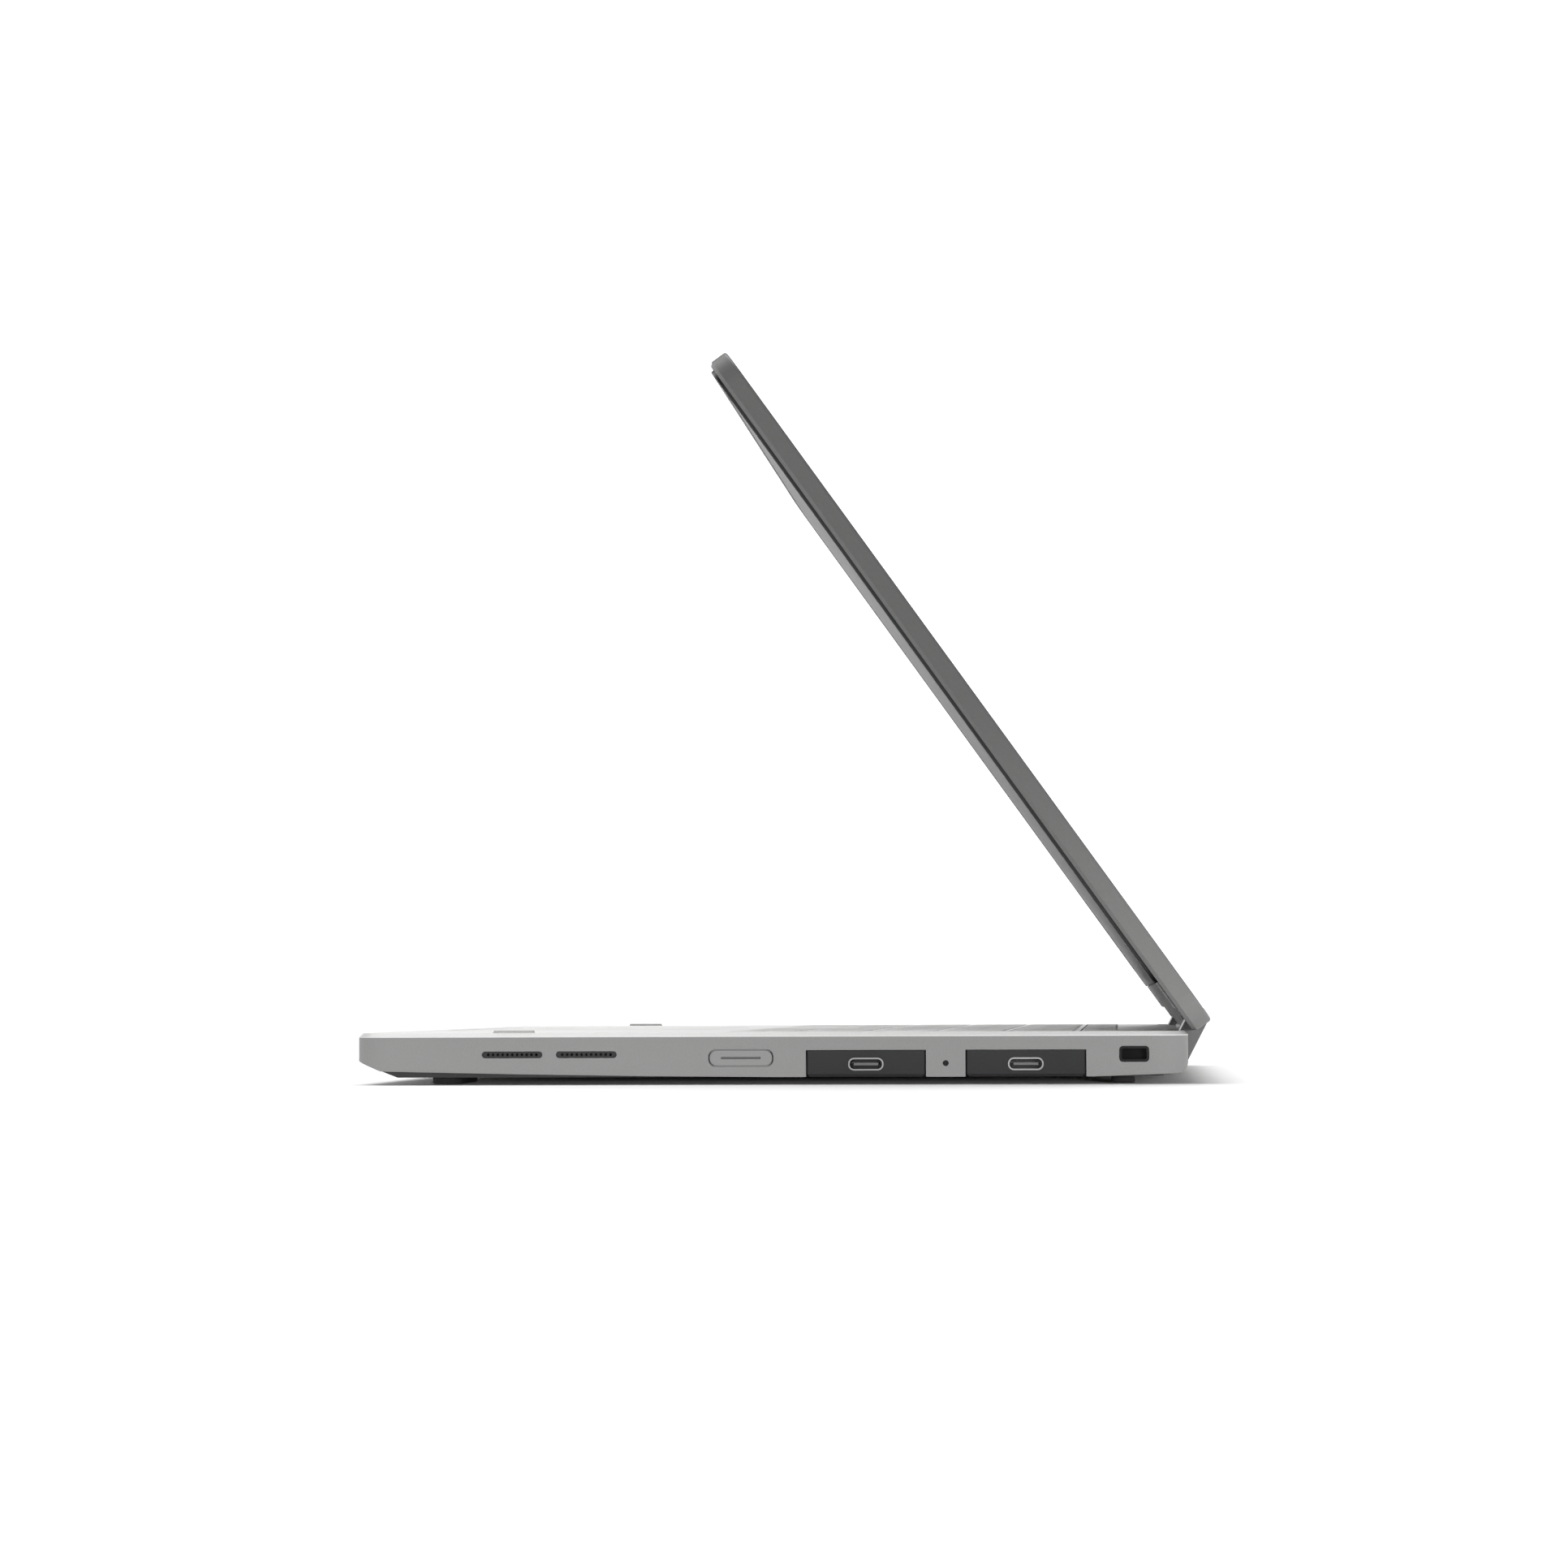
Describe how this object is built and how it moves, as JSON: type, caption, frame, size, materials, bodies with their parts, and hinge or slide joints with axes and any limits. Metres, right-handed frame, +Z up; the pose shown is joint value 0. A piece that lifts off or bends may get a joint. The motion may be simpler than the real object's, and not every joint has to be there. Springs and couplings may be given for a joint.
{
  "type": "laptop computer",
  "caption": "Convertible laptop computer with a keyboard base, removable port modules and a display lid that folds right round on twin-axis hinges.",
  "frame": {"origin": "under the middle of the part, on the surface that it stands on", "axes": "+X to the right of someone at the keyboard, +Y to the rear, +Z up"},
  "size_m": [0.287, 0.2172, 0.1874],
  "materials": {
    "shell_grey": "fine moulded grain, satin grey",
    "lid_grey": "fine moulded grain, satin grey",
    "cover_black": "fine black grain",
    "rubber_black": "matt rubber",
    "bumper_grey": "soft light grey pad",
    "screw_black": "blackened steel",
    "mesh_dark": "dark perforated strip",
    "speaker_black": "black moulding",
    "tray_grey": "dark grey plate",
    "key_grey": "light satin caps",
    "pad_grey": "smooth light grey surface",
    "switch_dark": "dark switch body",
    "battery_black": "black wrapped cells",
    "module_dark": "dark grey moulding",
    "port_metal": "drawn steel shell",
    "bay_black": "black moulding",
    "button_grey": "satin grey cap",
    "light_clear": "clear light guide, unlit",
    "lock_dark": "dark cast frame",
    "jack_dark": "black moulding",
    "board_green": "green coated board",
    "copper_bare": "bare copper",
    "fin_alloy": "thin alloy fins",
    "fan_black": "black moulding",
    "hinge_steel": "ground steel",
    "link_grey": "satin grey coat",
    "hinge_cover_dark": "dark strip",
    "bezel_black": "black frame",
    "screen_dark": "dark glass over the display",
    "panel_metal": "display panel",
    "camera_black": "lens barrel"
  },
  "bodies": {
    "base": {"deck": "shell_grey", "side_frame": "shell_grey", "bottom_cover": "cover_black", "rubber_feet": "rubber_black", "deck_bumpers": "bumper_grey", "bottom_screws": "screw_black", "speaker_meshes": "mesh_dark", "speakers": "speaker_black", "keyboard_tray": "tray_grey", "touchpad_bracket": "tray_grey", "click_switches": "switch_dark", "battery_pack": "battery_black", "module_bays": "bay_black", "module_sockets": "bay_black", "status_light": "light_clear", "lock_slot": "lock_dark", "audio_jack": "jack_dark", "mainboard": "board_green", "memory_module": "board_green", "storage_module": "board_green", "wireless_card": "board_green", "heat_pipe": "copper_bare", "heat_sink": "fin_alloy", "fan_housing": "fan_black", "fan_cover": "fan_black", "base_hinge_shafts": "hinge_steel", "base_hinge_springs": "hinge_steel", "base_hinge_brackets": "hinge_steel"},
    "links": {"hinge_links": "link_grey", "hinge_link_caps": "link_grey"},
    "lower_idlers": {"lower_idlers": "hinge_steel"},
    "upper_idlers": {"upper_idlers": "hinge_steel"},
    "lid": {"lid_cover": "lid_grey", "display_bezel": "bezel_black", "display_glass": "screen_dark", "lcd_panel": "panel_metal", "camera_module": "camera_black", "lid_hinge_cover": "hinge_cover_dark", "lid_hinge_brackets": "hinge_steel", "lid_hinge_shafts": "hinge_steel", "lid_hinge_springs": "hinge_steel"},
    "touchpad": {"touchpad": "pad_grey"},
    "power_button": {"power_button": "button_grey", "power_light": "light_clear"},
    "fan_impeller": {"fan_impeller": "fan_black"},
    "function_keys": {"function_keys": "key_grey"},
    "number_keys": {"number_keys": "key_grey"},
    "upper_letter_keys": {"upper_letter_keys": "key_grey"},
    "home_keys": {"home_keys": "key_grey"},
    "lower_letter_keys": {"lower_letter_keys": "key_grey"},
    "bottom_keys": {"bottom_keys": "key_grey"},
    "space_bar": {"space_bar": "key_grey"},
    "port_module_right_front": {"port_module_right_front": "module_dark", "usb_port_right_front": "port_metal"},
    "port_module_right_rear": {"port_module_right_rear": "module_dark", "usb_port_right_rear": "port_metal"},
    "port_module_left_front": {"port_module_left_front": "module_dark", "usb_port_left_front": "port_metal"},
    "port_module_left_rear": {"port_module_left_rear": "module_dark", "usb_port_left_rear": "port_metal"}
  },
  "joints": [
    {"name": "base_hinge", "type": "hinge", "parent": "base", "child": "links", "pos_m": [0, 0.10099, 0.0071], "axis": [-1, 0, 0], "range_deg": [-27.25, 152.75]},
    {"name": "lid_hinge", "type": "hinge", "parent": "links", "child": "lid", "pos_m": [0, 0.10557, 0.01599], "axis": [-1, 0, 0], "range_deg": [-27.25, 152.75]},
    {"name": "lower_idler_turn", "type": "hinge", "parent": "links", "child": "lower_idlers", "pos_m": [0, 0.10251, 0.01006], "axis": [-1, 0, 0], "range_deg": [-27.25, 152.75]},
    {"name": "upper_idler_turn", "type": "hinge", "parent": "links", "child": "upper_idlers", "pos_m": [0, 0.10404, 0.01303], "axis": [-1, 0, 0], "range_deg": [-152.75, 27.25]},
    {"name": "function_keys_press", "type": "slide", "parent": "base", "child": "function_keys", "axis": [0, 0, -1], "range_m": [0, 0.0013], "stiffness_N_per_m": 460, "springref_m": -0.0006},
    {"name": "number_keys_press", "type": "slide", "parent": "base", "child": "number_keys", "axis": [0, 0, -1], "range_m": [0, 0.0013], "stiffness_N_per_m": 460, "springref_m": -0.0006},
    {"name": "upper_letter_keys_press", "type": "slide", "parent": "base", "child": "upper_letter_keys", "axis": [0, 0, -1], "range_m": [0, 0.0013], "stiffness_N_per_m": 460, "springref_m": -0.0006},
    {"name": "home_keys_press", "type": "slide", "parent": "base", "child": "home_keys", "axis": [0, 0, -1], "range_m": [0, 0.0013], "stiffness_N_per_m": 460, "springref_m": -0.0006},
    {"name": "lower_letter_keys_press", "type": "slide", "parent": "base", "child": "lower_letter_keys", "axis": [0, 0, -1], "range_m": [0, 0.0013], "stiffness_N_per_m": 460, "springref_m": -0.0006},
    {"name": "bottom_keys_press", "type": "slide", "parent": "base", "child": "bottom_keys", "axis": [0, 0, -1], "range_m": [0, 0.0013], "stiffness_N_per_m": 460, "springref_m": -0.0006},
    {"name": "space_bar_press", "type": "slide", "parent": "base", "child": "space_bar", "axis": [0, 0, -1], "range_m": [0, 0.0013], "stiffness_N_per_m": 460, "springref_m": -0.0006},
    {"name": "touchpad_click", "type": "hinge", "parent": "base", "child": "touchpad", "pos_m": [0, -0.02691, 0.01065], "axis": [1, 0, 0], "range_deg": [0, 0.35], "stiffness_Nm_per_rad": 23, "springref_deg": -0.23},
    {"name": "power_button_press", "type": "slide", "parent": "base", "child": "power_button", "axis": [-1, 0, 0], "range_m": [0, 0.00045], "stiffness_N_per_m": 3000, "springref_m": -0.0002},
    {"name": "port_module_right_front_slide", "type": "slide", "parent": "base", "child": "port_module_right_front", "axis": [1, 0, 0], "range_m": [0, 0.04]},
    {"name": "port_module_right_rear_slide", "type": "slide", "parent": "base", "child": "port_module_right_rear", "axis": [1, 0, 0], "range_m": [0, 0.04]},
    {"name": "port_module_left_front_slide", "type": "slide", "parent": "base", "child": "port_module_left_front", "axis": [-1, 0, 0], "range_m": [0, 0.04]},
    {"name": "port_module_left_rear_slide", "type": "slide", "parent": "base", "child": "port_module_left_rear", "axis": [-1, 0, 0], "range_m": [0, 0.04]},
    {"name": "fan_spin", "type": "hinge", "parent": "base", "child": "fan_impeller", "pos_m": [0.04, 0.05394, 0.006], "axis": [0, 0, 1], "continuous": true}
  ],
  "couplings": [
    {"joint": "lid_hinge", "follows": "base_hinge", "ratio": 1},
    {"joint": "lower_idler_turn", "follows": "base_hinge", "ratio": 1},
    {"joint": "upper_idler_turn", "follows": "base_hinge", "ratio": -1}
  ]
}
